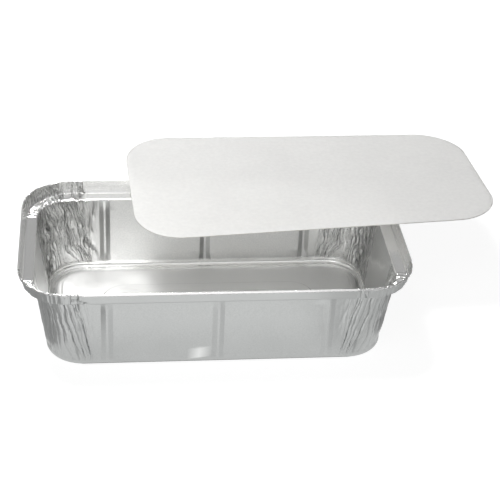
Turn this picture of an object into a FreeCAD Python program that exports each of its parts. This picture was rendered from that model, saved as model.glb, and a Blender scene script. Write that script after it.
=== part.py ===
import FreeCAD, Part
import math
import os
from FreeCAD import Vector

# A pressed foil food tray with gathered corners, and its loose board lid.
# Sizes are in mm. x runs along the tray, y to its back and z up; the foot stands on z = 0.

# Rim of the tray
rim_length = 200.0            # over the hem at the top of the lip
rim_width = 112.0
rim_corner_radius = 25.0
tray_height = 50.0            # foot to the crest of the hem
lip_height = 7.5              # crest of the hem above the flange
lip_lean = 1.3                # how far the lip leans outward
flange_width = 6.0            # flat shelf that the lid is cut for
hem_width = 0.7               # edge of the lip turned over to the outside
hem_drop = 1.2                # how far the turned edge comes down
foil_thickness = 0.10

# Walls and floor
end_wall_lean = 4.85          # inset of the floor's outline from the flange, at each end
side_wall_lean = 1.8          # the same at each long side
floor_corner_radius = 19.5
floor_fillet = 2.5            # round between floor and wall
foot_width = 4.0              # flat ring that the tray stands on
panel_rise = 1.2              # floor panel above the foot
panel_slope_run = 1.5         # width of the slope up to the panel
emboss_length = 116.0         # raised field in the middle of the floor panel
emboss_width = 50.0
emboss_corner_radius = 13.0
emboss_rise = 0.5
emboss_slope_run = 1.2

# Stiffening ribs pressed outward in both long walls: one in the middle, one near each corner
rib_from_corner = 19.0        # outer rib to the start of the rim's corner
rib_depth = 1.6
rib_half_width = 3.0
rib_foot_half_width = 3.8     # where the rib runs out at the floor
rib_top_half_width = 3.3      # where it runs out under the flange
rib_foot_height = 8.0         # full depth starts here, above the foot
rib_top_drop = 7.0            # full depth ends here, below the flange

# Gathers that take up the spare foil at the corners
gathers_per_corner = 11       # folds round each corner
gathers_per_side = 2          # folds between a corner and its outer rib
gathers_per_end = 4           # folds between a corner and the plain end wall
end_plain_share = 0.35        # share of the end wall's straight part that has no folds
side_gather_share = 0.6       # folds beside a rib are this shallow against those of the corner
gather_depth_high = 1.0       # depth of the folds in the wall, at full rib depth and above
gather_depth_low = 0.25       # the same at the foot of the wall
gather_depth_lip = 0.45
gather_sink_flange = 0.35     # the folds press the flange down by this

# Board lid, laid across the back right of the rim
lid_length = 197.0
lid_width = 103.5
lid_corner_radius = 25.5
lid_thickness = 0.5
lid_shift_x = 56.5            # its middle from the tray's middle
lid_shift_y = 52.6
lid_turn = 3.0                # degrees, seen from above
lid_corner_lift = 2.35        # the board is twisted: two of its corners are up by this, two down
lid_gap = 0.1                 # board above the crest of the hem

flange_z = tray_height - lip_height
flange_inset = hem_width + lip_lean
wall_inset = flange_inset + flange_width
rib_place = rim_length / 2 - rim_corner_radius - rib_from_corner


class Ring:
    """One closed outline of the tray: a rounded rectangle at one height."""

    def __init__(self, half_x, half_y, radius, z):
        self.half_x = half_x
        self.half_y = half_y
        self.radius = radius
        self.z = z
        self.rib_place = rib_place
        self.rib_half = rib_foot_half_width
        self.rib_depth = 0.0
        self.fold_depth = 0.0
        self.fold_sink = 0.0

    def straight_x(self):
        return self.half_x - self.radius

    def straight_y(self):
        return self.half_y - self.radius

    def moved(self, out_x, out_y, up):
        """The same ring with its outline moved out and up, and its ribs and folds kept."""
        ring = Ring(self.half_x + out_x, self.half_y + out_y, self.radius + (out_x + out_y) / 2, self.z + up)
        ring.rib_place, ring.rib_half, ring.rib_depth = self.rib_place, self.rib_half, self.rib_depth
        ring.fold_depth, ring.fold_sink = self.fold_depth, self.fold_sink
        return ring


def floor_ring(inset, z):
    half_x = rim_length / 2 - wall_inset - end_wall_lean - inset
    half_y = rim_width / 2 - wall_inset - side_wall_lean - inset
    return Ring(half_x, half_y, floor_corner_radius - inset, z)


def emboss_ring(inset, z):
    ring = Ring(emboss_length / 2 - inset, emboss_width / 2 - inset, emboss_corner_radius - inset, z)
    share = ring.straight_x() / floor_ring(0, 0).straight_x()
    ring.rib_place *= share
    ring.rib_half *= share
    return ring


def wall_ring(z, rib_half, depth, fold_depth):
    low, top = floor_ring(0, 0), rim_ring(wall_inset, 0, 0)
    share = (z - floor_fillet) / (flange_z - floor_fillet)
    sizes = [a + (b - a) * share for a, b in (
        (low.half_x, top.half_x), (low.half_y, top.half_y), (low.radius, top.radius))]
    ring = Ring(*sizes, z)
    ring.rib_half, ring.rib_depth, ring.fold_depth = rib_half, depth, fold_depth
    return ring


def rim_ring(inset, z, fold_depth=gather_depth_lip):
    ring = Ring(rim_length / 2 - inset, rim_width / 2 - inset, rim_corner_radius - inset, z)
    ring.rib_half, ring.fold_depth = rib_top_half_width, fold_depth
    return ring


def profile():
    """Rings along the middle of the foil, from the raised field of the floor to the turned edge."""
    half_foil = foil_thickness / 2
    panel_z = half_foil + panel_rise
    foot_inset = floor_fillet + foot_width
    fillet_cut = floor_fillet * (1 - math.cos(math.radians(45)))
    crest_z = tray_height - half_foil
    crest_run = hem_width / 3
    flange = rim_ring(flange_inset, flange_z)
    flange.fold_sink = gather_sink_flange
    gather_depth_middle = (gather_depth_low + gather_depth_high) / 2
    return [
        emboss_ring(emboss_slope_run, panel_z + emboss_rise),
        emboss_ring(0, panel_z),
        floor_ring(foot_inset + panel_slope_run, panel_z),
        floor_ring(foot_inset, half_foil),
        floor_ring(floor_fillet, half_foil),
        floor_ring(fillet_cut, half_foil + fillet_cut),
        wall_ring(floor_fillet, rib_foot_half_width, 0.0, gather_depth_low),
        wall_ring(rib_foot_height, rib_half_width, rib_depth, gather_depth_middle),
        wall_ring(flange_z - rib_top_drop, rib_half_width, rib_depth, gather_depth_high),
        wall_ring(flange_z, rib_top_half_width, 0.0, gather_depth_high),
        flange,
        rim_ring(hem_width - half_foil, crest_z - crest_run),
        rim_ring(hem_width - crest_run, crest_z),
        rim_ring(crest_run, crest_z),
        rim_ring(half_foil, crest_z - crest_run),
        rim_ring(half_foil, crest_z - hem_drop),
    ]


def mitre(before, here, after):
    """Shift of a profile point that moves the lines on both its sides inward by one unit."""
    normals = []
    for start, end in ((before, here), (here, after)):
        if start and end:
            run, rise = end[0] - start[0], end[1] - start[1]
            length = math.hypot(run, rise)
            normals.append((-rise / length, run / length))
    mean_out = sum(normal[0] for normal in normals) / len(normals)
    mean_up = sum(normal[1] for normal in normals) / len(normals)
    square = mean_out ** 2 + mean_up ** 2
    return mean_out / square, mean_up / square


def skin(rings, amount):
    """The profile's rings moved towards the inside of the tray by an amount, or out if it is negative."""
    moved = []
    for i, ring in enumerate(rings):
        near = [rings[i - 1] if i else None, ring, rings[i + 1] if i + 1 < len(rings) else None]
        out_x, up_x = mitre(*[r and (r.half_x, r.z) for r in near])
        out_y, up_y = mitre(*[r and (r.half_y, r.z) for r in near])
        moved.append(ring.moved(out_x * amount, out_y * amount, (up_x + up_y) / 2 * amount))
    return moved


def fold(number):
    """Every other point is tucked in, and no two folds are quite as deep."""
    return 0.75 + 0.25 * math.sin(2.4 * number) if number % 2 else 0.0


def folded(ring, x, y, face_x, face_y, amount):
    """A point of the ring, tucked in by one fold against the way that the wall faces there."""
    tuck = amount * ring.fold_depth
    return Vector(x - face_x * tuck, y - face_y * tuck, ring.z - amount * ring.fold_sink)


def rib_points(ring, middle):
    """Both edges of a rib in the front wall, with its ridge between them."""
    return [
        Vector(middle - ring.rib_half, -ring.half_y, ring.z),
        Vector(middle, -ring.half_y - ring.rib_depth, ring.z),
        Vector(middle + ring.rib_half, -ring.half_y, ring.z),
    ]


def side_folds(ring):
    """Folds of the front wall from the outer rib to the corner."""
    start = ring.rib_place + ring.rib_half
    run = ring.straight_x() - start
    steps = 2 * gathers_per_side + 1
    return [folded(ring, start + run * i / steps, -ring.half_y, 0, -1, side_gather_share * fold(i))
            for i in range(1, steps)]


def corner_folds(ring):
    steps = 2 * gathers_per_corner
    points = []
    for i in range(steps + 1):
        turn = math.radians(90.0 * i / steps)
        face_x, face_y = math.sin(turn), -math.cos(turn)
        x, y = ring.straight_x() + ring.radius * face_x, ring.radius * face_y - ring.straight_y()
        points.append(folded(ring, x, y, face_x, face_y, fold(i)))
    return points


def end_folds(ring):
    """Folds that die out along the end wall, up to the edge of its plain middle."""
    start = -ring.straight_y()
    run = -start * (1 - end_plain_share)
    steps = 2 * gathers_per_end
    return [folded(ring, ring.half_x, start + run * i / steps, 1, 0, fold(i) * (1 - i / steps))
            for i in range(1, steps + 1)]


def mirrored(points, x_sign, y_sign):
    return [Vector(p.x * x_sign, p.y * y_sign, p.z) for p in points]


def outline(ring):
    """All points of a ring, once round from the ridge of the front wall's middle rib."""
    right = rib_points(ring, 0.0)[1:] + rib_points(ring, ring.rib_place) + side_folds(ring)
    right += corner_folds(ring) + end_folds(ring)
    left = right[1:]
    back = mirrored(right[::-1], 1, -1) + mirrored(left, -1, -1)
    return right + back + mirrored(left[::-1], -1, 1)


def split(a, b, c, d):
    """Two triangles for four points, folded along the diagonal that stands further out."""
    reach_ac = math.hypot(a.x + c.x, a.y + c.y)
    reach_bd = math.hypot(b.x + d.x, b.y + d.y)
    return ((0, 1, 2), (0, 2, 3)) if reach_ac >= reach_bd else ((0, 1, 3), (1, 2, 3))


def foil_tray():
    """The under and upper skins of the foil share one net of facets, closed along the turned edge."""
    rings = profile()
    skins = [[outline(ring) for ring in skin(rings, side * foil_thickness / 2)] for side in (-1, 1)]
    count = len(skins[0][0])
    last = len(rings) - 1
    points = [point for levels in skins for level in levels for point in level]
    facets = []

    def number(side, ring, place):
        return (side * len(rings) + ring) * count + place % count

    for ring in range(last):
        for place in range(count):
            corners = ((ring, place), (ring, place + 1), (ring + 1, place + 1), (ring + 1, place))
            for i, j, k in split(*[skins[0][r][p % count] for r, p in corners]):
                facets.append(tuple(number(0, *corners[n]) for n in (i, k, j)))
                facets.append(tuple(number(1, *corners[n]) for n in (i, j, k)))
    for place in range(count):
        a, b = number(0, last, place), number(0, last, place + 1)
        c, d = number(1, last, place + 1), number(1, last, place)
        facets += [(a, c, b), (a, d, c)]
    for side in (0, 1):
        points.append(Vector(0, 0, skins[side][0][0].z))
        for place in range(count):
            pair = (number(side, 0, place), number(side, 0, place + 1))
            facets.append((len(points) - 1,) + (pair if side else pair[::-1]))
    shape = Part.Shape()
    shape.makeShapeFromMesh((points, facets), foil_thickness / 1000)
    return Part.Solid(shape.Shells[0]).removeSplitter()


def board_lid():
    """A stiff board cut to lie on the flange. It is slightly twisted and rests on top of the rim."""
    half_x, half_y = lid_length / 2, lid_width / 2
    spare = lid_thickness * 10
    far_x, far_y = half_x + spare, half_y + spare
    far_lift = lid_corner_lift * (far_x * far_y) / (half_x * half_y)
    corners = [[Vector(x, y, -far_lift if x * y > 0 else far_lift) for y in (-far_y, far_y)]
               for x in (-far_x, far_x)]
    sheet = Part.BSplineSurface()
    sheet.buildFromPolesMultsKnots(corners, [2, 2], [2, 2], [0, 1], [0, 1], False, False, 1, 1)
    board = sheet.toShape().extrude(Vector(0, 0, lid_thickness))
    reach = far_lift + lid_thickness * 2
    cutter = Part.makeBox(lid_length, lid_width, reach * 2, Vector(-half_x, -half_y, -reach))
    upright = [edge for edge in cutter.Edges if edge.BoundBox.ZLength > reach]
    lid = board.common(cutter.makeFillet(lid_corner_radius, upright)).Solids[0]
    lid.rotate(Vector(0, 0, 0), Vector(0, 0, 1), lid_turn)
    lid.translate(Vector(lid_shift_x, lid_shift_y, tray_height + lid_gap))
    return lid


os.makedirs("parts", exist_ok=True)
nodes = {"foil_tray": foil_tray(), "board_lid": board_lid()}
for name, shape in nodes.items():
    shape.exportStep(f"parts/{name}.step")
    print(name, "volume", round(shape.Volume, 1), "faces", len(shape.Faces), "valid", shape.isValid())
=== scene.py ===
import math

import bpy
from mathutils import Matrix, Vector, noise


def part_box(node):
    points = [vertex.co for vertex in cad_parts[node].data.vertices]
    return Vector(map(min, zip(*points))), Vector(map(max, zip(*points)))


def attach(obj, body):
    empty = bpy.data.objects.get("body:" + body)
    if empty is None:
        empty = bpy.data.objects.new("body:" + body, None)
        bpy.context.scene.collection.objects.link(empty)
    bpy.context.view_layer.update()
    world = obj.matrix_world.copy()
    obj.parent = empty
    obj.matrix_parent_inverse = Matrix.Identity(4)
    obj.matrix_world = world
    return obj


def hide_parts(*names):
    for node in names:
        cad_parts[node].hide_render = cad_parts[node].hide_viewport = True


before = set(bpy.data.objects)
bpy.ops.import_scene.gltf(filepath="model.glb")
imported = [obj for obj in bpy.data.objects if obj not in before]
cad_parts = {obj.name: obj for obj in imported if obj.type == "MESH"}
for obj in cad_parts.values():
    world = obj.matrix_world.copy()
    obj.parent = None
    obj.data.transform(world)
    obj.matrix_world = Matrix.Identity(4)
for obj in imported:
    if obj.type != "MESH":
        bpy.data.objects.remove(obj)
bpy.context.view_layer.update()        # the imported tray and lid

mm = 0.001
trayLow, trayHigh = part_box("foil_tray")
print("frame loaded")

# The camera looks from the photograph's own angle
cameraSettings = {
    "azimuth": -7.005,        # degrees, 0 looks along +y
    "elevation": 32.363,
    "roll": 2.714,
    "distance": 773.1,        # mm from the point that it looks at
    "target": (21.62, 13.27, 30.0),
    "lens": 103.2,
    "sensor": 36.0,
}


def makeCamera(settings):
    turn, rise, roll = (math.radians(settings[key]) for key in ("azimuth", "elevation", "roll"))
    back = Vector((math.sin(turn) * math.cos(rise), -math.cos(turn) * math.cos(rise), math.sin(rise)))
    level = Vector((math.cos(turn), math.sin(turn), 0))
    upright = back.cross(level)
    right = level * math.cos(roll) + upright * math.sin(roll)
    up = upright * math.cos(roll) - level * math.sin(roll)
    data = bpy.data.cameras.new("photoCamera")
    data.lens = settings["lens"]
    data.sensor_width = settings["sensor"]
    data.sensor_fit = "HORIZONTAL"
    data.clip_start = 0.01
    camera = bpy.data.objects.new("photoCamera", data)
    bpy.context.collection.objects.link(camera)
    place = Vector(settings["target"]) * mm + back * settings["distance"] * mm
    camera.matrix_world = Matrix.Translation(place) @ Matrix((right, up, back)).transposed().to_4x4()
    bpy.context.scene.camera = camera


def link(tree, source, target):
    tree.links.new(source, target)


def addNode(tree, kind, **values):
    node = tree.nodes.new(kind)
    for name, value in values.items():
        setattr(node, name, value)
    return node


def mathNode(tree, operation, first, second):
    node = addNode(tree, "ShaderNodeMath", operation=operation)
    for socket, value in zip(node.inputs, (first, second)):
        if isinstance(value, (int, float)):
            socket.default_value = value
        else:
            link(tree, value, socket)
    return node.outputs[0]


def backdropMask(tree):
    # 1 where the camera, a mirror or a clear surface looks at the backdrop
    path = addNode(tree, "ShaderNodeLightPath")
    seen = mathNode(tree, "MAXIMUM", path.outputs["Is Camera Ray"], path.outputs["Is Glossy Ray"])
    return mathNode(tree, "MAXIMUM", seen, path.outputs["Is Transmission Ray"])


def makeBareMaterial(name):
    material = bpy.data.materials.new(name)
    material.use_nodes = True
    material.node_tree.nodes.clear()
    return material


def makePanel(name, halfX, halfY):
    mesh = bpy.data.meshes.new(name)
    corners = [(-halfX, -halfY, 0), (halfX, -halfY, 0), (halfX, halfY, 0), (-halfX, halfY, 0)]
    mesh.from_pydata(corners, [], [(0, 1, 2, 3)])
    panel = bpy.data.objects.new(name, mesh)
    bpy.context.collection.objects.link(panel)
    return panel


studioSettings = {
    "ambient": 0.21,          # how much the white room lights the object
    "floorSize": 6.0,
    "floorDrop": 0.0001,      # the floor lies just below the object
    "floorPaint": 0.30,       # lit part of the floor, the rest of its white glows
    "floorGlow": 0.90,
    "flatBelow": 0.1,         # a card lower than this lies flat on the floor
}
softboxes = (
    {"name": "frontSoftbox", "place": (-0.46, -0.78, 1.25), "size": 0.8, "power": 2.7},
    {"name": "topSoftbox", "place": (-0.20, 0.16, 0.75), "size": 0.22, "power": 5.6},
)
# Grey cards that only the foil mirrors, as the dark parts of a studio: glowing panels that paint dark
# reflections
greyCards = (
    {"name": "backCard", "place": (0.0, 1.6, 0.85), "size": (2.6, 1.3), "glow": 0.385},
    {"name": "leftCard", "place": (-1.3, -0.2, 0.55), "size": (1.5, 0.9), "glow": 0.34},
    {"name": "rightCard", "place": (1.2, -0.35, 0.65), "size": (1.6, 1.1), "glow": 0.08},
    # Cards at floor level paint shade into the floor's mirror image near the tray; footCard, under the tray,
    # is a painted shadow
    {"name": "frontFloorCard", "place": (0.31, -0.305, 0.0004), "size": (0.5, 0.5), "glow": 0.82},
    {"name": "footCard", "place": (0.0, 0.0, -0.00005), "size": (0.138, 0.0915), "glow": 0.12},
    {"name": "leftFloorCard", "place": (-0.345, 0.28, 0.0004), "size": (0.51, 0.8), "glow": 0.52},
    {"name": "rightFloorCard", "place": (0.345, 0.355, 0.0004), "size": (0.50, 0.8), "glow": 0.45},
)


def makeWorld(settings):
    world = bpy.data.worlds.new("whiteRoom")
    bpy.context.scene.world = world
    world.use_nodes = True
    tree = world.node_tree
    tree.nodes.clear()
    ambient = addNode(tree, "ShaderNodeBackground")
    ambient.inputs["Strength"].default_value = settings["ambient"]
    white = addNode(tree, "ShaderNodeBackground")
    mix = addNode(tree, "ShaderNodeMixShader")
    out = addNode(tree, "ShaderNodeOutputWorld")
    link(tree, backdropMask(tree), mix.inputs[0])
    link(tree, ambient.outputs[0], mix.inputs[1])
    link(tree, white.outputs[0], mix.inputs[2])
    link(tree, mix.outputs[0], out.inputs[0])


def makeFloor(settings):
    floor = makePanel("studioFloor", settings["floorSize"] / 2, settings["floorSize"] / 2)
    floor.location.z = -settings["floorDrop"]
    material = makeBareMaterial("paleFloor")
    tree = material.node_tree
    paint = addNode(tree, "ShaderNodeBsdfDiffuse")
    paint.inputs["Color"].default_value = (settings["floorPaint"],) * 3 + (1,)
    glow = addNode(tree, "ShaderNodeEmission")
    glow.inputs["Strength"].default_value = settings["floorGlow"]
    dark = addNode(tree, "ShaderNodeEmission")
    dark.inputs["Strength"].default_value = 0
    choose = addNode(tree, "ShaderNodeMixShader")
    add = addNode(tree, "ShaderNodeAddShader")
    out = addNode(tree, "ShaderNodeOutputMaterial")
    link(tree, backdropMask(tree), choose.inputs[0])
    link(tree, dark.outputs[0], choose.inputs[1])
    link(tree, glow.outputs[0], choose.inputs[2])
    link(tree, paint.outputs[0], add.inputs[0])
    link(tree, choose.outputs[0], add.inputs[1])
    link(tree, add.outputs[0], out.inputs[0])
    floor.data.materials.append(material)


def makeSoftbox(softbox):
    data = bpy.data.lights.new(softbox["name"], "AREA")
    data.shape = "SQUARE"
    data.size = softbox["size"]
    data.energy = softbox["power"]
    lamp = bpy.data.objects.new(softbox["name"], data)
    bpy.context.collection.objects.link(lamp)
    lamp.location = softbox["place"]
    lamp.rotation_euler = Vector(softbox["place"]).to_track_quat("Z", "Y").to_euler()


def makeCard(card, settings):
    panel = makePanel(card["name"], card["size"][0] / 2, card["size"][1] / 2)
    panel.location = card["place"]
    if card["place"][2] > settings["flatBelow"]:
        panel.rotation_euler = Vector(card["place"]).to_track_quat("Z", "Y").to_euler()
    for rays in ("camera", "diffuse", "shadow", "transmission", "volume_scatter"):
        setattr(panel, "visible_" + rays, False)
    material = makeBareMaterial(card["name"])
    tree = material.node_tree
    glow = addNode(tree, "ShaderNodeEmission")
    glow.inputs["Strength"].default_value = card["glow"]
    out = addNode(tree, "ShaderNodeOutputMaterial")
    link(tree, glow.outputs[0], out.inputs[0])
    panel.data.materials.append(material)


makeCamera(cameraSettings)
makeWorld(studioSettings)
makeFloor(studioSettings)
for softbox in softboxes:
    makeSoftbox(softbox)
for card in greyCards:
    makeCard(card, studioSettings)
bpy.context.scene.view_settings.view_transform = "Standard"
print("camera and studio ready")

# Foil tray. Sizes are in mm, and the outer ones come from the frame.
traySizes = {
    "halfLength": (trayHigh.x - trayLow.x) / 2 / mm,
    "halfWidth": (trayHigh.y - trayLow.y) / 2 / mm,
    "height": trayHigh.z / mm,
    "rimRadius": 25.0,
    "lipHeight": 7.5,
    "lipLean": 1.3,
    "flangeWidth": 6.0,
    "hemWidth": 0.7,
    "hemDrop": 1.2,
    "foil": 0.09,
    "endLean": 4.85,
    "sideLean": 1.8,
    "floorRadius": 19.5,
    "floorFillet": 2.5,
    "footWidth": 4.0,
    "panelRise": 1.2,
    "panelRun": 1.5,
    "embossHalfLength": 58.0,
    "embossHalfWidth": 25.0,
    "embossRadius": 13.0,
    "embossRise": 0.5,
    "embossRun": 1.0,
    "flangeRound": 0.7,       # bend radius between wall and flange
    "lipRound": 1.3,          # the softer bend between flange and lip
    "backLip": 1.8,           # the back lip stands upright, its foot further out by this
    "sharpAngle": 24.0,       # degrees between two faces from which their edge stays sharp
}

ribSizes = {
    "fromCorner": 19.0,
    "depth": 1.6,
    "halfWidth": 3.0,
    "footHalfWidth": 3.8,
    "topHalfWidth": 3.3,
    "footHeight": 8.0,
    "topDrop": 7.0,
    "ridgeHalfWidth": 0.45,
    "insideShade": 0.42,      # painted shade: how much darker the rib's flanks are inside
    # painted shade on the rib's flanks outside
    "outsideShade": 0.17,
    "flareShade": 0.8,        # extra painted shade for the wide foot of a middle rib
    "facetShare": 0.20,       # width of the slanting end facet against the rib's
}

stationSteps = {
    "ribHalf": 7,             # points across half a rib
    "plain": 8,               # between two ribs
    "side": 38,               # between a rib and the corner
    "corner": 76,
    "end": 46,                # corner to the middle of an end wall
}

# Folds that run down the walls and the rim round each corner, in two layers each, with sizes in mm
wallFolds = (
    {"pitch": 2.7, "depth": 0.95, "drift": 1.0, "seed": 3.7},
    {"pitch": 1.2, "depth": 0.46, "drift": 0.7, "seed": 8.1},
)
rimFolds = (
    {"pitch": 1.9, "depth": 0.50, "drift": 0.5, "seed": 21.3},
    {"pitch": 1.0, "depth": 0.32, "drift": 0.4, "seed": 27.9},
)
foldSettings = {
    "wander": (9.0, 30.0),    # mm across and down over which the folds drift out of step
    "fineWander": (3.0, 12.0),
    "fineShare": 0.3,
    "lastStart": 16.0,        # folds start up to this far below the flange
    "startFade": (-6.0, 3.0),
    "lastEnd": 66.0,          # and end this far below it, or earlier by up to endSpread
    "endSpread": 24.0,
    "endFade": (-9.0, 3.0),
    "middleDepth": 0.5,       # share of the layer's depth, and how much the folds differ in it
    "depthSpread": 0.6,
    "crackShare": 0.35,       # width of a crack between two folds, against half a fold
}
gatherSettings = {
    "slantSide": 0.22,        # how fast the folds drift away from the corner on their way down
    "slantEnd": 0.10,
    "slantFrom": 14.0,        # full slant at this distance from the middle of the corner
    "sway": 3.2,              # how far the folds wander from side to side on their way down
    "swaySize": (9.0, 11.0),  # mm across and down of one turn
    "fineSway": 0.4,          # the same again, smaller
    "fineSwaySize": (4.0, 5.0),
    "swayFrom": 10.0,         # in full from this many mm below the flange
    "footShare": 0.75,        # depth of the gathers at the wall's foot against its top
    "footFade": (-0.04, 0.07),         # share of the wall's height over which they fade at its foot
    "creaseFade": (0.0, 0.05),
    "crumple": 0.16,
    "crumpleFacet": (2.2, 9.0),        # mm across and down of one crumpled facet
    "topCrumple": 0.40,       # extra crumple under the rim, where the gathers are tightest
    "topFacet": (1.3, 3.5),
    "topReach": (24, 4),      # it grows from this many mm below the rim up to here
    "rimCrumple": 0.42,
    "rimFacet": (0.9, 0.9),
    "sheetCrumple": 0.45,     # wider facets of the flange's corners
    "sheetFacet": (2.8, 1.8),
    "sheetReach": (4, 6),     # mm out from the wall's top where they fade
    "facetMiddle": 0.4,       # about the mean of a facet's height
    "shadeRange": (0.05, 0.6),         # depth in mm at which the painted shade of a crack or groove starts and ends
    "crestRange": (0.1, 0.5),          # the same for the painted highlight on the crests of the right end wall
    "fieldLine": 0.26,        # painted shade along the edge of the floor's raised field
    "rimShow": 0.62,          # how much the rim's gathers roughen the foil and darken it with painted shade
    "lipRipple": 0.14,        # faint ripples of the lip's plain stretches, in bump and painted streak shade
    "hemJag": 0.4,            # the hem dips by up to this between its crumples
    "hemFacet": (1.3, 1.0),
    "hemPaintedShade": 0.7,           # painted shade on the hem where the front corners are calm
    "hemShadeReach": (1.2, 0.7),  # mm below the top of the hem
    "turnReach": (-20, 20),   # mm along the end walls from the calm front to the crumpled back
    "endPlain": 8.0,          # half of the plain stretch of an end wall
    "endFade": 18.0,
    "sideFade": 13.0,
    "rimEndPlain": 29.5,      # the same for the flange and lip
    "rimStart": 67.0,         # along the long sides the rim is plain up to here
    "rimFade": 2.0,
    "rimEndFade": 10.0,
    "calmEndPlain": 17.0,     # the right end wall and the front of the left one are plain further
    "calmEndFade": 8.0,
    "frontCrumple": 0.35,     # crumple of the front corners' rim against the back ones'
    "seed": 3.7,
}

# Single creases beside the ribs and on the right end wall: wall, depth, half width, and a line of
# points (mm along the wall, mm up)
backLeft, backRight, frontRight, frontLeft, rightEnd = (-1, 1), (1, 1), (1, -1), (-1, -1), "rightEnd"
wallCreases = (
    (backLeft, 0.85, 1.1, ((-61.3, 42.0), (-60.9, 38.5), (-62.0, 35.0), (-61.8, 30.5))),
    (backLeft, 0.80, 1.2, ((-63.8, 31.5), (-64.4, 25.0), (-62.0, 20.0))),
    (backLeft, 0.90, 1.2, ((-68.0, 18.0), (-65.7, 13.3), (-61.8, 10.0), (-59.6, 4.5))),
    (backLeft, 0.85, 1.1, ((-71.0, 13.8), (-67.2, 8.0), (-64.6, 3.2))),
    (backLeft, -0.65, 1.3, ((-66.5, 26.0), (-66.8, 20.5), (-63.0, 14.5), (-61.0, 12.0))),
    (frontRight, 0.30, 1.3, ((47.9, 37.5), (47.4, 31.0))),
    (frontRight, 0.35, 1.2, ((49.8, 32.5), (51.7, 25.0), (53.2, 17.5))),
    (frontRight, 0.40, 1.2, ((64.9, 38.0), (60.6, 32.5))),
    (frontRight, 0.45, 1.2, ((66.4, 36.5), (62.4, 23.5), (60.8, 19.0))),
    (frontRight, -0.40, 1.4, ((69.5, 30.0), (66.3, 23.0), (66.9, 15.5))),
    (frontRight, 0.45, 1.2, ((74.9, 28.0), (71.3, 17.0))),
    (frontLeft, -0.25, 1.2, ((-50.5, 33.0), (-48.5, 27.5))),
    (rightEnd, 0.60, 1.7, ((28.0, 14.0), (20.0, 19.3), (12.6, 21.3), (4.0, 27.0), (-6.0, 30.0),
                           (-15.0, 36.5))),
    (rightEnd, 0.45, 1.3, ((35.0, 31.0), (31.0, 23.0), (26.5, 12.0))),
    (rightEnd, 0.35, 1.3, ((-17.5, 40.0), (-19.0, 32.0), (-21.0, 22.0))),
)
footDent = {
    "left": -12.7,            # bent patch of the front wall's foot, beside the middle rib
    "right": -4.2,
    "top": 11.0,
    "depth": -0.35,
    "leftFade": 1.8,
    "rightFade": 0.8,
    "topFade": 2.4,
}
# Pinched tucks in the lip where its plain stretches end
rimTucks = (
    (backLeft, 1.2, 0.8, ((-67.5, 51.5), (-70.0, 46.5), (-66.5, 42.0))),
    (frontLeft, 0.9, 0.6, ((-74.5, 45.3), (-71.0, 46.2), (-68.5, 44.6), (-64.5, 43.0))),
    (frontRight, 0.7, 0.5, ((68.5, 49.0), (72.3, 46.5), (73.4, 41.0))),
    (backRight, 1.0, 0.7, ((67.5, 51.5), (70.0, 46.5), (66.5, 42.0))),
)


rimZones = ("flange", "lip")


def makeRing(halfX, halfY, radius, z, zone):
    return {"halfX": halfX, "halfY": halfY, "radius": radius, "z": z, "zone": zone}


def smooth(low, high, value):
    # 0 at low and 1 at high, which may be the smaller of the two
    share = min(1.0, max(0.0, (value - low) / (high - low)))
    return share * share * (3 - 2 * share)


def wallTopInset(sizes):
    return sizes["hemWidth"] + sizes["lipLean"] + sizes["flangeWidth"]


def rimRing(sizes, inset, z, zone):
    halfX, halfY = sizes["halfLength"] - inset, sizes["halfWidth"] - inset
    return makeRing(halfX, halfY, sizes["rimRadius"] - inset, z, zone)


def floorRing(sizes, inset, z, zone):
    reach = wallTopInset(sizes)
    halfX = sizes["halfLength"] - reach - sizes["endLean"] - inset
    halfY = sizes["halfWidth"] - reach - sizes["sideLean"] - inset
    return makeRing(halfX, halfY, sizes["floorRadius"] - inset, z, zone)


def embossRing(sizes, inset, z, zone):
    halfX, halfY = sizes["embossHalfLength"] - inset, sizes["embossHalfWidth"] - inset
    return makeRing(halfX, halfY, sizes["embossRadius"] - inset, z, zone)


def blendRings(low, high, share, z, zone):
    sizes = [low[key] + (high[key] - low[key]) * share for key in ("halfX", "halfY", "radius")]
    return makeRing(*sizes, z, zone)


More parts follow.
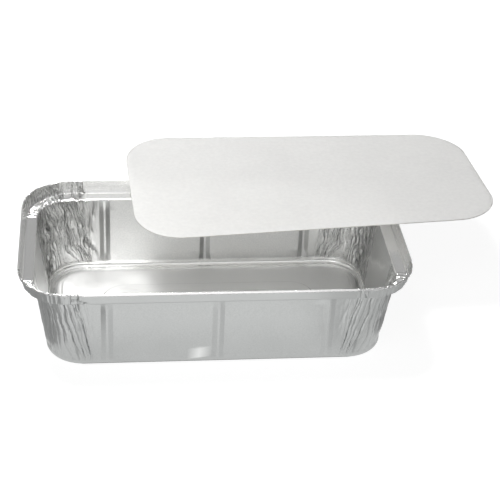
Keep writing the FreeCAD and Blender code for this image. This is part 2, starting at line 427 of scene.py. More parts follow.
def trayRings(sizes, wallSteps=24, flangeSteps=5, lipSteps=6):
    # from the edge of the floor's raised field out, up the wall, and over the rim to the hem's end
    base = sizes["foil"]
    panelZ = base + sizes["panelRise"]
    footInset = sizes["floorFillet"] + sizes["footWidth"]
    flangeZ = sizes["height"] - sizes["lipHeight"]
    rings = []
    for share, zone in ((1.0, "floor"), (0.7, "floorBend"), (0.3, "floorBend"), (0.0, "floor")):
        rise = sizes["embossRise"] * smooth(0, 1, share)
        rings.append(embossRing(sizes, sizes["embossRun"] * share, panelZ + rise, zone))
    for share in (1.0, 0.8, 0.5, 0.2, 0.0):
        rise = sizes["panelRise"] * smooth(0, 1, share)
        rings.append(floorRing(sizes, footInset + sizes["panelRun"] * share, base + rise, "floor"))
    fillet = sizes["floorFillet"]
    for i in range(7):
        turn = math.radians(90 * i / 6)
        inset, z = fillet * (1 - math.sin(turn)), fillet * (1 - math.cos(turn))
        rings.append(floorRing(sizes, inset, base + z, "fillet"))
    wallInset = wallTopInset(sizes)
    low, high = floorRing(sizes, 0, 0, ""), rimRing(sizes, wallInset, 0, "")
    bend, lipBend = sizes["flangeRound"], sizes["lipRound"]
    wallTop = flangeZ - bend
    for i in range(1, wallSteps + 1):
        share = i / wallSteps
        z = base + fillet + (wallTop - base - fillet) * share
        rings.append(blendRings(low, high, share, z, "wall"))
    for turn in (30, 60, 90):
        out = bend * (1 - math.cos(math.radians(turn)))
        rise = bend * math.sin(math.radians(turn))
        rings.append(rimRing(sizes, wallInset - out, wallTop + rise, "flange"))
    lipInset = sizes["hemWidth"] + sizes["lipLean"]
    start, end = wallInset - bend, lipInset + lipBend
    for i in range(1, flangeSteps + 1):
        rings.append(rimRing(sizes, start + (end - start) * i / flangeSteps, flangeZ, "flange"))
    for turn in (22, 45, 68, 90):
        out = lipBend * math.sin(math.radians(turn))
        rise = lipBend * (1 - math.cos(math.radians(turn)))
        rings.append(rimRing(sizes, end - out, flangeZ + rise, "lip"))
    hemRadius = sizes["hemWidth"] / 2
    hemZ = sizes["height"] - hemRadius
    for i in range(1, lipSteps + 1):
        share = i / lipSteps
        z = flangeZ + lipBend + (hemZ - flangeZ - lipBend) * share
        rings.append(rimRing(sizes, lipInset - sizes["lipLean"] * share, z, "lip"))
    for turn in (30, 60, 90, 120, 150, 180):
        inset = hemRadius * (1 + math.cos(math.radians(turn)))
        rings.append(rimRing(sizes, inset, hemZ + hemRadius * math.sin(math.radians(turn)), "lip"))
    rings.append(rimRing(sizes, 0, sizes["height"] - sizes["hemDrop"], "lip"))
    return rings


def ribShape(ring, sizes, ribs):
    # half width of the rib, half width of its slanting end facet, and its depth at this ring
    low, lowEnd = sizes["foil"] + sizes["floorFillet"], ribs["footHeight"]
    top = sizes["height"] - sizes["lipHeight"]
    topEnd = top - ribs["topDrop"]
    if ring["zone"] in ("floor", "floorBend", "fillet"):
        return ribs["footHalfWidth"], ribs["footHalfWidth"], 0.0
    if ring["zone"] != "wall":
        return ribs["topHalfWidth"], ribs["topHalfWidth"] * ribs["facetShare"], 0.0
    if ring["z"] < lowEnd:
        share, wide = max(0.0, (ring["z"] - low) / (lowEnd - low)), ribs["footHalfWidth"]
    else:
        share, wide = min(1.0, max(0.0, (top - ring["z"]) / (top - topEnd))), ribs["topHalfWidth"]
    edge = wide + (ribs["halfWidth"] - wide) * share
    return edge, wide * (1 - share) * ribs["facetShare"], ribs["depth"] * share


def ribFlank(station, ring, sizes, ribs):
    # where painted shade goes: 1 on the slanting sides of a rib and more at a middle rib's foot, 0 on its
    # ridge and beside it
    (kind, share), _, _ = station
    if ring["zone"] != "wall" or kind not in ("middleRib", "outerRib"):
        return 0.0
    edge, flat, depth = ribShape(ring, sizes, ribs)
    ridge = max(flat, ribs["ridgeHalfWidth"]) / edge
    beside = smooth(ridge, ridge + 0.15, abs(share)) * smooth(1.0, 0.85, abs(share))
    shade = smooth(0.0, 0.25, depth / ribs["depth"])
    if kind == "middleRib":
        shade += ribs["flareShade"] * smooth(ribs["footHeight"] + 1, ribs["footHeight"] - 3, ring["z"])
    return beside * shade


def quarterStations(steps):
    half = steps["ribHalf"]
    stations = [("middleRib", i / half) for i in range(half + 1)]
    stations += [("plain", i / steps["plain"]) for i in range(1, steps["plain"])]
    stations += [("outerRib", i / half) for i in range(-half, half + 1)]
    stations += [("side", i / steps["side"]) for i in range(1, steps["side"])]
    stations += [("corner", i / steps["corner"]) for i in range(steps["corner"] + 1)]
    stations += [("end", i / steps["end"]) for i in range(1, steps["end"] + 1)]
    return stations


def allStations(steps):
    # once round the tray against the clock, from the middle of the front wall
    quarter = quarterStations(steps)
    order = [(station, 1, 1) for station in quarter]
    order += [(station, 1, -1) for station in reversed(quarter[:-1])]
    order += [(station, -1, -1) for station in quarter[1:]]
    order += [(station, -1, 1) for station in reversed(quarter[1:-1])]
    return order


def ringPlace(ring, station, sizes, ribs):
    # place on the ring and the way that the wall faces there
    (kind, share), signX, signY = station
    straightX, straightY = ring["halfX"] - ring["radius"], ring["halfY"] - ring["radius"]
    edge, flat, depth = ribShape(ring, sizes, ribs)
    ribPlace = sizes["halfLength"] - sizes["rimRadius"] - ribs["fromCorner"]
    if ring["zone"] in ("floor", "floorBend") and straightX < ribPlace + edge:
        shrink = straightX / (ribPlace + edge + 1)
        ribPlace, edge = ribPlace * shrink, edge * shrink
    out = 0.0
    if kind == "corner":
        turn = math.radians(90 * share)
        face = (math.sin(turn), -math.cos(turn))
        x, y = straightX + ring["radius"] * face[0], -straightY + ring["radius"] * face[1]
    elif kind == "end":
        face = (1.0, 0.0)
        x, y = ring["halfX"], -straightY * (1 - share)
    else:
        face = (0.0, -1.0)
        y = -ring["halfY"]
        if kind == "plain":
            x = edge + (ribPlace - 2 * edge) * share
        elif kind == "side":
            x = ribPlace + edge + (straightX - ribPlace - edge) * share
        else:
            x = share * edge + (ribPlace if kind == "outerRib" else 0.0)
            if depth:
                flat = max(flat, ribs["ridgeHalfWidth"])
                out = depth * min(1.0, (1 - abs(share)) * edge / (edge - flat))
    x, y = x + face[0] * out, y + face[1] * out
    return Vector((x * signX, y * signY)), Vector((face[0] * signX, face[1] * signY))


def facetHeight(across, down, facet, seed):
    # crumpled foil: 0 on the edges between its facets, growing towards their middles
    near = noise.voronoi(Vector((across / facet[0], down / facet[1], seed)))[0]
    return near[1] - near[0]


def foldLayer(across, down, layer, folds):
    # straight-sided folds, each with its own depth and its own start and end on the way down,
    # with the narrow cracks between them for the inside and the grooves for the outside
    seed = layer["seed"]
    (wide, long), (fineWide, fineLong) = folds["wander"], folds["fineWander"]
    drift = noise.noise(Vector((across / wide, down / long, seed))) * layer["drift"]
    fine = noise.noise(Vector((across / fineWide, down / fineLong, seed + 5)))
    drift += fine * layer["drift"] * folds["fineShare"]
    phase = across / layer["pitch"] + drift
    number = math.floor(phase)
    ridge = 1 - abs(2 * (phase - number) - 1)
    strength, start, end = (noise.cell(Vector((number + 0.5, seed, k + 0.5))) for k in (0, 1, 2))
    window = smooth(*folds["startFade"], down - folds["lastStart"] * abs(start) ** 2)
    window *= smooth(*folds["endFade"], folds["lastEnd"] - folds["endSpread"] * abs(end) - down)
    depth = layer["depth"] * (folds["middleDepth"] + folds["depthSpread"] * strength) * window
    crack = depth * max(0.0, 1 - ridge / folds["crackShare"])
    groove = depth * max(0.0, 1 - (1 - ridge) / folds["crackShare"])
    return depth * ridge, crack, groove


def slanted(across, down, look, calm):
    # folds spread away from the corner and wander on their way down
    slant = look["slantSide"] if across > 0 else look["slantEnd"]
    (wide, long), (fineWide, fineLong) = look["swaySize"], look["fineSwaySize"]
    sway = noise.noise(Vector((across / wide, down / long, look["seed"] + 50)))
    fine = noise.noise(Vector((across / fineWide, down / fineLong, look["seed"] + 60)))
    sway += look["fineSway"] * fine
    sway *= look["sway"] * calm * smooth(0, look["swayFrom"], down)
    return across + sway - math.copysign(slant * smooth(0, look["slantFrom"], abs(across)) * down, across)


def wallFold(across, down, look, calm):
    # across is mm from the middle of the corner, growing towards the long side; down is mm below the
    # flange. Returns how far the foil moves, its crack and its groove.
    spot = slanted(across, down, look, calm)
    folds, cracks, grooves = zip(*(foldLayer(spot, down, layer, foldSettings) for layer in wallFolds))
    facet = facetHeight(spot, down, look["crumpleFacet"], look["seed"])
    crumple = look["crumple"] * (facet - look["facetMiddle"])
    facet = facetHeight(spot, down, look["topFacet"], look["seed"] + 10)
    crumple += look["topCrumple"] * facet * smooth(*look["topReach"], down)
    return sum(folds) + crumple, max(cracks), max(grooves)


def rimFold(across, beyond, look, calm):
    # the same for flange and lip, beyond being mm out from the wall's top along the foil
    folds, cracks, grooves = zip(*(foldLayer(across, beyond, layer, foldSettings) for layer in rimFolds))
    facet = facetHeight(across, beyond, look["rimFacet"], look["seed"] + 20)
    crumple = look["rimCrumple"] * calm * facet
    facet = facetHeight(across, beyond, look["sheetFacet"], look["seed"] + 30) - look["facetMiddle"]
    crumple += look["sheetCrumple"] * facet * (1 - smooth(*look["sheetReach"], beyond))
    return sum(folds) + crumple, max(cracks), max(grooves)


def lineDistance(x, z, points):
    # distance to a line of points, and how far along it the nearest spot lies, from 0 to 1
    best, share = 1e9, 0.0
    for i, ((ax, az), (bx, bz)) in enumerate(zip(points, points[1:])):
        dx, dz = bx - ax, bz - az
        t = min(1.0, max(0.0, ((x - ax) * dx + (z - az) * dz) / (dx * dx + dz * dz)))
        far = math.hypot(x - ax - t * dx, z - az - t * dz)
        if far < best:
            best, share = far, (i + t) / (len(points) - 1)
    return best, share


def creaseDepth(place, z, face, lines):
    total = 0.0
    onEnd = abs(face.x) > abs(face.y)
    side = (1 if place.x > 0 else -1, 1 if place.y > 0 else -1)
    for wall, depth, width, points in lines:
        if (wall == rightEnd and onEnd and place.x > 0) or (wall == side and not onEnd):
            far, share = lineDistance(place.y if onEnd else place.x, z, points)
            if far < width:
                total += depth * (1 - far / width) * smooth(0, 0.15, share) * smooth(0, 0.15, 1 - share)
    return total


def dentShare(place, z, dent):
    if place.y > 0 or not dent["left"] < place.x < dent["right"] or z > dent["top"]:
        return 0.0
    across = smooth(0, dent["leftFade"], place.x - dent["left"])
    across *= smooth(0, dent["rightFade"], dent["right"] - place.x)
    return across * smooth(0, dent["topFade"], dent["top"] - z)


def wallMask(place, kind, sizes, ribs, look):
    # where the walls are gathered
    if kind in ("middleRib", "plain", "outerRib"):
        return 0.0
    if kind == "side":
        ribEnd = sizes["halfLength"] - sizes["rimRadius"] - ribs["fromCorner"] + ribs["topHalfWidth"]
        return smooth(0, look["sideFade"], abs(place.x) - ribEnd)
    if kind == "end":
        if place.x > 0 or place.y < 0:
            return smooth(0, look["calmEndFade"], abs(place.y) - look["calmEndPlain"])
        return smooth(0, look["endFade"], abs(place.y) - look["endPlain"])
    return 1.0


def rimMask(place, kind, look):
    # where the flange and lip are gathered
    if kind == "corner":
        return 1.0
    if kind == "end":
        return smooth(0, look["rimEndFade"], abs(place.y) - look["rimEndPlain"])
    return smooth(0, look["rimFade"], abs(place.x) - look["rimStart"])


def cornerDistances(places, stations):
    # signed mm from the middle of the nearest corner, positive towards the long side
    alongs = [0.0]
    for before, here in zip(places, places[1:]):
        alongs.append(alongs[-1] + (here - before).length)
    middles = [(along, station) for along, station in zip(alongs, stations)
               if station[0][0] == "corner" and abs(station[0][1] - 0.5) < 0.001]
    distances = []
    for along, (_, signX, signY) in zip(alongs, stations):
        middle = next(m for m, s in middles if s[1:] == (signX, signY))
        distances.append((middle - along) * -signX * signY)
    return distances


def pressDirection(rings, level):
    # how a fold moves the foil at this ring: share along the wall's facing, and share upward
    if rings[level]["zone"] == "lip":
        return -1.0, 0.0
    before, after = rings[max(0, level - 1)], rings[min(len(rings) - 1, level + 1)]
    run, rise = after["halfX"] - before["halfX"], after["z"] - before["z"]
    length = math.hypot(run, rise)
    return -rise / length, run / length


def pressFoil(ring, place, face, spot, sizes, look):
    # how far the foil moves inward here, and its gathers, crack, groove and crest
    wallFoot = sizes["foil"] + sizes["floorFillet"]
    wallTop = sizes["height"] - sizes["lipHeight"]
    share, fold, crack, groove, crest, extra = 0.0, 0.0, 0.0, 0.0, 0.0, 0.0
    if ring["zone"] == "wall":
        height = (ring["z"] - wallFoot) / (wallTop - wallFoot)
        share = look["footShare"] + (1 - look["footShare"]) * height
        share *= spot["onWall"] * smooth(*look["footFade"], height)
        if share:
            fold, crack, groove = wallFold(spot["across"], wallTop - ring["z"], look, spot["calm"])
        crest = creaseDepth(place, ring["z"], face, wallCreases)
        dent = footDent["depth"] * dentShare(place, ring["z"], footDent)
        extra = (crest + dent) * smooth(*look["creaseFade"], height)
    elif ring["zone"] in rimZones:
        share = spot["onRim"]
        if share:
            fold, crack, groove = rimFold(spot["across"], spot["beyond"], look, spot["calm"])
        if ring["zone"] == "lip":
            extra = creaseDepth(place, ring["z"], face, rimTucks)
    return share * fold + extra, share, crack, groove, crest


def backLipShift(ring, place, face, beyond, sizes):
    # moves the back lip's foot out, so that the lip stands upright
    if ring["zone"] not in rimZones or place.y <= 0:
        return 0.0
    lipFoot = sizes["flangeWidth"] - sizes["lipRound"]
    share = beyond / lipFoot if beyond < lipFoot else (sizes["height"] - ring["z"]) / sizes["lipHeight"]
    return sizes["backLip"] * max(0.0, min(1.0, share)) * smooth(0.9, 1.0, face.y)


def hemDip(ring, spot, sizes, look):
    if not spot["onRim"] or ring["zone"] != "lip":
        return 0.0
    dip = look["hemJag"] * spot["onRim"] * spot["calm"]
    dip *= facetHeight(spot["across"], 0.5, look["hemFacet"], look["seed"] + 40)
    onLip = (ring["z"] - sizes["height"] + sizes["lipHeight"]) / sizes["lipHeight"]
    return dip * smooth(0.5, 1.0, onLip)


def foilShades(ring, station, place, face, spot, pressed, sizes, ribs, look):
    # values of this point for the foil's materials
    share, crack, groove, crest = pressed
    onWall = ring["zone"] == "wall"
    shown = share if onWall else look["rimShow"] * share
    flank = ribFlank(station, ring, sizes, ribs)
    # painted shade on the top of the hem at the front corners
    dark = look["hemPaintedShade"] * spot["onRim"] * (1 - spot["calm"])
    dark *= smooth(*(sizes["height"] - drop for drop in look["hemShadeReach"]), ring["z"])
    # painted shade along the edge of the floor's raised field
    if ring["zone"] == "floorBend":
        dark = look["fieldLine"]
    crackShade = smooth(*look["shadeRange"], crack * shown)
    return {
        "gathers": max(shown, look["lipRipple"]) if ring["zone"] == "lip" else shown,
        "floorShare": 1.0 if ring["zone"] == "floor" else 0.0,
        "crispShare": 0.0 if ring["zone"] in ("floor", "wall") else 1.0,
        # painted shade inside: hem, raised field's edge, rib flanks and fold cracks
        "crack": max(dark, ribs["insideShade"] * flank, crackShade),
        # painted shade outside: rib flanks and fold grooves
        "groove": max(ribs["outsideShade"] * flank, smooth(*look["shadeRange"], groove * share)),
        # painted highlight on the dent at the front wall's foot, outside
        "paintedDentHighlight": dentShare(place, ring["z"], footDent) if onWall else 0.0,
        # painted highlight on the crests of the right end wall, inside
        "crest": smooth(*look["crestRange"], crest) if onWall and face.x > 0.9 else 0.0,
    }


def makeTrayMesh(vertices, count, levels, shades, foldPlaces, sharpAngle):
    faces = [tuple(range(count))]
    for level in range(levels - 1):
        low, high = level * count, (level + 1) * count
        for j in range(count):
            k = (j + 1) % count
            faces.append((low + j, high + j, high + k, low + k))
    mesh = bpy.data.meshes.new("foilTray")
    mesh.from_pydata(vertices, [], faces)
    for name in shades[0]:
        layer = mesh.attributes.new(name, "FLOAT", "POINT")
        layer.data.foreach_set("value", [point[name] for point in shades])
    mesh.attributes.new("foldPlace", "FLOAT_VECTOR", "POINT").data.foreach_set("vector", foldPlaces)
    mesh.polygons.foreach_set("use_smooth", [True] * len(mesh.polygons))
    mesh.set_sharp_from_angle(angle=math.radians(sharpAngle))
    return mesh


def buildTray(sizes, ribs, steps, look):
    rings = trayRings(sizes)
    stations = allStations(steps)
    reference = rimRing(sizes, wallTopInset(sizes), 0, "wall")
    places = [ringPlace(reference, station, sizes, ribs)[0] for station in stations]
    acrosses = cornerDistances(places, stations)
    wallMasks = [wallMask(p, s[0][0], sizes, ribs, look) for p, s in zip(places, stations)]
    rimMasks = [rimMask(p, s[0][0], look) for p, s in zip(places, stations)]
    wallTop = sizes["height"] - sizes["lipHeight"]
    vertices, shades, foldPlaces = [], [], []
    beyond = 0.0                                           # mm along the foil from the wall's top
    for level, ring in enumerate(rings):
        before = rings[max(0, level - 1)]
        inward, lift = pressDirection(rings, level)
        if ring["zone"] in rimZones:
            beyond += math.hypot(ring["halfX"] - before["halfX"], ring["z"] - before["z"])
        down = wallTop - ring["z"] if ring["zone"] == "wall" else -beyond
        for station, across, onWall, onRim in zip(stations, acrosses, wallMasks, rimMasks):
            place, face = ringPlace(ring, station, sizes, ribs)
            front = look["frontCrumple"]
            calm = front + (1 - front) * smooth(*look["turnReach"], place.y)
            spot = {"across": across, "beyond": beyond, "onWall": onWall, "onRim": onRim, "calm": calm}
            move, *pressed = pressFoil(ring, place, face, spot, sizes, look)
            place += face * backLipShift(ring, place, face, beyond, sizes)
            shades.append(foilShades(ring, station, place, face, spot, pressed, sizes, ribs, look))
            foldPlaces += (slanted(across, max(0.0, down), look, calm), down, 0.0)
            place += face * inward * move
            z = ring["z"] + lift * move - hemDip(ring, spot, sizes, look)
            vertices.append((place.x * mm, place.y * mm, z * mm))
    mesh = makeTrayMesh(vertices, len(stations), len(rings), shades, foldPlaces, sizes["sharpAngle"])
    tray = bpy.data.objects.new("foilTray", mesh)
    bpy.context.collection.objects.link(tray)
    sheet = tray.modifiers.new("foilSheet", "SOLIDIFY")
    sheet.thickness = sizes["foil"] * mm
    sheet.offset = -1
    sheet.material_offset = 1
    sheet.material_offset_rim = 1
    return tray


def makeGroup(name, inputs, outputs):
    group = bpy.data.node_groups.new(name, "ShaderNodeTree")
    for title, value in inputs.items():
        group.interface.new_socket(title, in_out="INPUT", socket_type="NodeSocketFloat").default_value = value
    for title in outputs:
        group.interface.new_socket(title, in_out="OUTPUT", socket_type="NodeSocketFloat")
    return group, addNode(group, "NodeGroupInput"), addNode(group, "NodeGroupOutput")


def makeFoilGroup():
    # rolled foil: rolling lines along x, fine grain, soft blotches, and the creases of crumpled foil
    given = {"Line Scale": 900, "Grain Scale": 1500, "Blotch Scale": 60, "Crease Scale": 700}
    group, inside, out = makeGroup("rolledFoil", given, ["Lines", "Grain", "Blotch", "Creases"])
    place = addNode(group, "ShaderNodeTexCoord").outputs["Object"]
    stretch = addNode(group, "ShaderNodeMapping")
    stretch.inputs["Scale"].default_value = (0.02, 1, 1)
    link(group, place, stretch.inputs["Vector"])
    for title, scale, vector in (("Lines", "Line Scale", stretch.outputs[0]), ("Grain", "Grain Scale", place),
                                 ("Blotch", "Blotch Scale", place)):
        texture = addNode(group, "ShaderNodeTexNoise")
        texture.inputs["Detail"].default_value = 3
        link(group, vector, texture.inputs["Vector"])
        link(group, inside.outputs[scale], texture.inputs["Scale"])
        link(group, texture.outputs["Fac"], out.inputs[title])
    creases = addNode(group, "ShaderNodeTexVoronoi", feature="DISTANCE_TO_EDGE")
    link(group, place, creases.inputs["Vector"])
    link(group, inside.outputs["Crease Scale"], creases.inputs["Scale"])
    link(group, creases.outputs["Distance"], out.inputs["Creases"])
    return group


def makeStreakGroup():
    # fine creases that follow the folds: a height, and a mask of painted shade in their bottoms
    given = {"Fineness": 1.5, "Stretch": 0.09, "Darkest": 0.30, "Lightest": 0.46}
    group, inside, out = makeGroup("foldStreaks", given, ["Height", "Dark"])
    place = addNode(group, "ShaderNodeAttribute", attribute_name="foldPlace")
    scale = addNode(group, "ShaderNodeCombineXYZ")
    scale.inputs["X"].default_value = 1.0
    scale.inputs["Z"].default_value = 1.0
    link(group, inside.outputs["Stretch"], scale.inputs["Y"])
    stretch = addNode(group, "ShaderNodeVectorMath", operation="MULTIPLY")
    link(group, place.outputs["Vector"], stretch.inputs[0])
    link(group, scale.outputs["Vector"], stretch.inputs[1])
    texture = addNode(group, "ShaderNodeTexNoise")
    texture.inputs["Detail"].default_value = 2.5
    texture.inputs["Distortion"].default_value = 0.6
    link(group, stretch.outputs["Vector"], texture.inputs["Vector"])
    link(group, inside.outputs["Fineness"], texture.inputs["Scale"])
    dark = addNode(group, "ShaderNodeMapRange")
    link(group, texture.outputs["Fac"], dark.inputs["Value"])
    link(group, inside.outputs["Darkest"], dark.inputs["From Min"])
    link(group, inside.outputs["Lightest"], dark.inputs["From Max"])
    dark.inputs["To Min"].default_value = 1.0
    dark.inputs["To Max"].default_value = 0.0
    link(group, texture.outputs["Fac"], out.inputs["Height"])
    link(group, dark.outputs["Result"], out.inputs["Dark"])
    return group


def rangeNode(tree, value, low, high):
    # spreads the middle of a noise over the range from low to high
    node = addNode(tree, "ShaderNodeMapRange")
    link(tree, value, node.inputs["Value"])
    node.inputs["From Min"].default_value = 0.3
    node.inputs["From Max"].default_value = 0.7
    node.inputs["To Min"].default_value = low
    node.inputs["To Max"].default_value = high
    return node.outputs["Result"]


# The foil is bright inside and matt outside
brightFoil = {
    "dark": (0.66, 0.665, 0.66),
    "light": (0.74, 0.74, 0.73),
    # pressed: painted light, the floor, flange, lip and bends lighter than the walls
    "pressed": (0.95, 0.95, 0.94),
    # painted highlight on the crests of the right end wall
    "paintedHighlight": (0.90, 0.90, 0.89),
    "roughLow": 0.34,
    "roughHigh": 0.42,
    "floorRough": 1.5,        # the floor's roughness against the walls'
    "crispRough": 0.38,       # the same for flange, lip and the bend at the foot
    "foldRough": 0.38,        # the same for the gathers
    "lines": 0.35,
    "grain": 1.0,
    "creases": 0.6,
    "speckle": 3.0,           # share of the fine grain in the tone
    "darkWhere": "crack",     # value of the mesh that paints shade on the foil, and the one that paints highlights on it
    "paintedHighlightWhere": "crest",
    "valley": 0.34,           # painted shade: tone in the deepest folds against the open foil
    "streaks": 13.0,
    "streakTone": 0.9,
    "bump": 0.05,             # mm
}
mattFoil = {
    "dark": (0.45, 0.46, 0.455),
    "light": (0.51, 0.52, 0.515),
    "pressed": (0.48, 0.49, 0.485),
    # painted highlight on the dent at the front wall's foot
    "paintedHighlight": (0.80, 0.81, 0.80),
    "roughLow": 0.34,
    "roughHigh": 0.42,
    "floorRough": 1.0,
    "crispRough": 1.0,
    "foldRough": 0.8,
    "lines": 0.35,
    "grain": 0.35,
    "creases": 0.6,
    "speckle": 2.2,
    "darkWhere": "groove",
    "paintedHighlightWhere": "paintedDentHighlight",
    "valley": 0.76,
    "streaks": 8.0,
    "streakTone": 0.4,
    "bump": 0.05,
}


def meshValue(tree, name):
    return addNode(tree, "ShaderNodeAttribute", attribute_name=name).outputs["Fac"]


def paintOver(tree, under, colour, share):
    mix = addNode(tree, "ShaderNodeMix", data_type="RGBA")
    mix.inputs["B"].default_value = (*colour, 1)
    link(tree, share, mix.inputs["Factor"])
    link(tree, under, mix.inputs["A"])
    return mix.outputs["Result"]


def addShare(tree, total, value, share):
    return mathNode(tree, "ADD", total, mathNode(tree, "MULTIPLY", value, share))


def makeFoil(name, look, group, streakGroup):
    material = bpy.data.materials.new(name)
    material.use_nodes = True
    tree = material.node_tree
    shader = tree.nodes["Principled BSDF"]
    shader.inputs["Metallic"].default_value = 1.0
    foil = addNode(tree, "ShaderNodeGroup", node_tree=group)
    streaks = addNode(tree, "ShaderNodeGroup", node_tree=streakGroup)
    gathered = meshValue(tree, "gathers")
    onFloor = meshValue(tree, "floorShare")
    crisp = mathNode(tree, "SUBTRACT", 1.0, gathered)
    crisp = mathNode(tree, "MULTIPLY", meshValue(tree, "crispShare"), crisp)
    # painted shade in the bottoms of the fine streaks, where the foil is gathered
    darkStreaks = mathNode(tree, "MULTIPLY", streaks.outputs["Dark"], gathered)
    darkStreaks = mathNode(tree, "MULTIPLY", darkStreaks, look["streakTone"])
    valley = mathNode(tree, "MAXIMUM", meshValue(tree, look["darkWhere"]), darkStreaks)
    tone = addNode(tree, "ShaderNodeMix", data_type="RGBA")
    tone.inputs["A"].default_value = (*look["dark"], 1)
    tone.inputs["B"].default_value = (*look["light"], 1)
    speckle = mathNode(tree, "SUBTRACT", foil.outputs["Grain"], 0.5)
    link(tree, addShare(tree, foil.outputs["Blotch"], speckle, look["speckle"]), tone.inputs["Factor"])
    # painted light: the floor, flange, lip and bends take the pressed tone, lighter than the walls inside
    paintedToneZones = mathNode(tree, "MAXIMUM", onFloor, crisp)
    colour = paintOver(tree, tone.outputs["Result"], look["pressed"], paintedToneZones)
    # painted highlights: the right end wall's crests inside, the front foot's dent outside
    colour = paintOver(tree, colour, look["paintedHighlight"], meshValue(tree, look["paintedHighlightWhere"]))
    # painted shade: cracks, grooves, rib flanks, the hem, the field's edge and the streaks' bottoms
    colour = paintOver(tree, colour, [value * look["valley"] for value in look["dark"]], valley)
    link(tree, colour, shader.inputs["Base Color"])
    rough = rangeNode(tree, foil.outputs["Blotch"], look["roughLow"], look["roughHigh"])
    factor = addShare(tree, 1.0, onFloor, look["floorRough"] - 1)
    factor = addShare(tree, factor, crisp, look["crispRough"] - 1)
    factor = addShare(tree, factor, gathered, look["foldRough"] - 1)
    link(tree, mathNode(tree, "MULTIPLY", rough, factor), shader.inputs["Roughness"])
    height = mathNode(tree, "MULTIPLY", foil.outputs["Lines"], look["lines"])
    height = addShare(tree, height, foil.outputs["Grain"], look["grain"])
    creases = mathNode(tree, "MULTIPLY", foil.outputs["Creases"], gathered)
    height = addShare(tree, height, creases, look["creases"])
    streakHeight = mathNode(tree, "MULTIPLY", streaks.outputs["Height"], gathered)
    height = addShare(tree, height, streakHeight, look["streaks"])
    bump = addNode(tree, "ShaderNodeBump")
    bump.inputs["Distance"].default_value = look["bump"] * mm
    link(tree, height, bump.inputs["Height"])
    link(tree, bump.outputs["Normal"], shader.inputs["Normal"])
    return material


tray = buildTray(traySizes, ribSizes, stationSteps, gatherSettings)
foilGroup, streakGroup = makeFoilGroup(), makeStreakGroup()
tray.data.materials.append(makeFoil("brightFoilInside", brightFoil, foilGroup, streakGroup))
tray.data.materials.append(makeFoil("mattFoilOutside", mattFoil, foilGroup, streakGroup))
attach(tray, "root")
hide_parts("foil_tray")
print("foil tray ready:", len(tray.data.polygons), "faces")

# Board lid, lying across the back right of the rim. Sizes are in mm.
lidSizes = {
    "restsAt": traySizes["height"],
    "halfLength": 98.5,
    "halfWidth": 51.75,
    "radius": 25.5,
    "thickness": 0.5,
    "shift": (56.5, 52.6),
    "turn": 3.0,
    "warp": 2.35,             # the board is twisted, each corner up or down by this
    "gap": 0.1,
    "edgeRound": 0.08,
    "sharpAngle": 50.0,
    "edgeSteps": 5,           # rows of faces over the cut edge
    "cornerSteps": 28,
    "sideSteps": 12,
    "insetSteps": 14,
}


def lidOutline(sizes, inset):
    halfX, halfY = sizes["halfLength"] - inset, sizes["halfWidth"] - inset
    radius = max(0.0, sizes["radius"] - inset)
    x, y = halfX - radius, halfY - radius
    points = []
    for quarter, (cornerX, cornerY) in enumerate(((x, -y), (x, y), (-x, y), (-x, -y))):
        for i in range(sizes["cornerSteps"] + 1):
            turn = math.radians(90 * (quarter - 1 + i / sizes["cornerSteps"]))
            points.append(Vector((cornerX + radius * math.cos(turn), cornerY + radius * math.sin(turn))))
        nextX, nextY = ((x, y), (-x, y), (-x, -y), (x, -y))[quarter]
        start = points[-1]
        end = Vector((nextX, nextY)) + radius * Vector((math.cos(math.radians(90 * quarter)),
                                                        math.sin(math.radians(90 * quarter))))
        for i in range(1, sizes["sideSteps"]):
            points.append(start.lerp(end, i / sizes["sideSteps"]))
    return points


def buildLid(sizes):
    turn = Matrix.Rotation(math.radians(sizes["turn"]), 2)
    shift = Vector(sizes["shift"])
    under = sizes["restsAt"] + sizes["gap"]
    soft = sizes["edgeRound"]
    reach = sizes["halfWidth"] - 1
    steps = sizes["insetSteps"]
    insets = [soft + (reach - soft) * (1 - i / steps) for i in range(steps + 1)]
    levels = [(inset, 0.0) for inset in insets]            # inset, and height above the underside
    levels += [(soft * 0.3, soft * 0.3), (0.0, soft)]
    levels += [(0.0, sizes["thickness"] - soft), (soft * 0.3, sizes["thickness"] - soft * 0.3)]
    levels += [(inset, sizes["thickness"]) for inset in reversed(insets)]
    vertices = []
    for inset, height in levels:
        for point in lidOutline(sizes, inset):
            warp = -sizes["warp"] * (point.x / sizes["halfLength"]) * (point.y / sizes["halfWidth"])
            spot = turn @ point + shift
            vertices.append((spot.x * mm, spot.y * mm, (under + height + warp) * mm))
    count = len(lidOutline(sizes, 0))
    faces = [tuple(range(count))[::-1]]
    for level in range(len(levels) - 1):
        low, high = level * count, (level + 1) * count
        for j in range(count):
            k = (j + 1) % count
            faces.append((low + j, low + k, high + k, high + j))
    last = (len(levels) - 1) * count
    faces.append(tuple(range(last, last + count)))
    mesh = bpy.data.meshes.new("boardLid")
    mesh.from_pydata(vertices, [], faces)
    mesh.polygons.foreach_set("use_smooth", [True] * len(mesh.polygons))
    cutEdge = slice(1 + steps * count, 1 + (steps + sizes["edgeSteps"]) * count)
    for face in mesh.polygons[cutEdge]:
        face.material_index = 1
    mesh.set_sharp_from_angle(angle=math.radians(sizes["sharpAngle"]))
    lid = bpy.data.objects.new("boardLid", mesh)
    bpy.context.collection.objects.link(lid)
    return lid


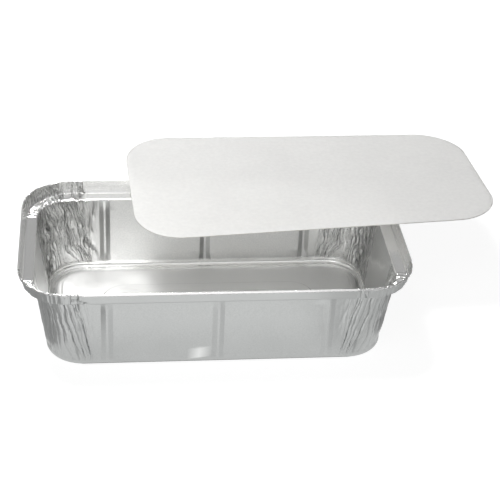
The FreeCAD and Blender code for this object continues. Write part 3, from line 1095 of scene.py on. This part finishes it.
boardLook = {
    "dark": (0.67, 0.665, 0.65),
    "light": (0.75, 0.745, 0.725),
    "edge": (0.62, 0.60, 0.56),
    "rough": 0.62,
    "mottle": 450,
    "cloud": 30,
    "fibre": 1800,
    "bump": 0.02,
    "throughShare": 0.8,      # light that the thin board lets through to its underside
    "throughReach": 2.5,
}


def makeBoard(name, look, dark, light):
    material = bpy.data.materials.new(name)
    material.use_nodes = True
    tree = material.node_tree
    shader = tree.nodes["Principled BSDF"]
    shader.inputs["Roughness"].default_value = look["rough"]
    shader.inputs["Subsurface Weight"].default_value = look["throughShare"]
    shader.inputs["Subsurface Radius"].default_value = (look["throughReach"] * mm,) * 3
    shader.inputs["Subsurface Scale"].default_value = 1.0
    place = addNode(tree, "ShaderNodeTexCoord").outputs["Object"]
    textures = {}
    for title in ("mottle", "cloud", "fibre"):
        texture = addNode(tree, "ShaderNodeTexNoise")
        texture.inputs["Scale"].default_value = look[title]
        texture.inputs["Detail"].default_value = 4
        link(tree, place, texture.inputs["Vector"])
        textures[title] = texture.outputs["Fac"]
    share = mathNode(tree, "MULTIPLY", mathNode(tree, "ADD", textures["mottle"], textures["cloud"]), 0.5)
    tone = addNode(tree, "ShaderNodeMix", data_type="RGBA")
    tone.inputs["A"].default_value = (*dark, 1)
    tone.inputs["B"].default_value = (*light, 1)
    link(tree, rangeNode(tree, share, 0.0, 1.0), tone.inputs["Factor"])
    link(tree, tone.outputs["Result"], shader.inputs["Base Color"])
    bump = addNode(tree, "ShaderNodeBump")
    bump.inputs["Distance"].default_value = look["bump"] * mm
    link(tree, textures["fibre"], bump.inputs["Height"])
    link(tree, bump.outputs["Normal"], shader.inputs["Normal"])
    return material


lid = buildLid(lidSizes)
lid.data.materials.append(makeBoard("whiteBoard", boardLook, boardLook["dark"], boardLook["light"]))
lid.data.materials.append(makeBoard("cutBoardEdge", boardLook, boardLook["edge"], boardLook["light"]))
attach(lid, "root")
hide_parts("board_lid")
print("board lid ready")
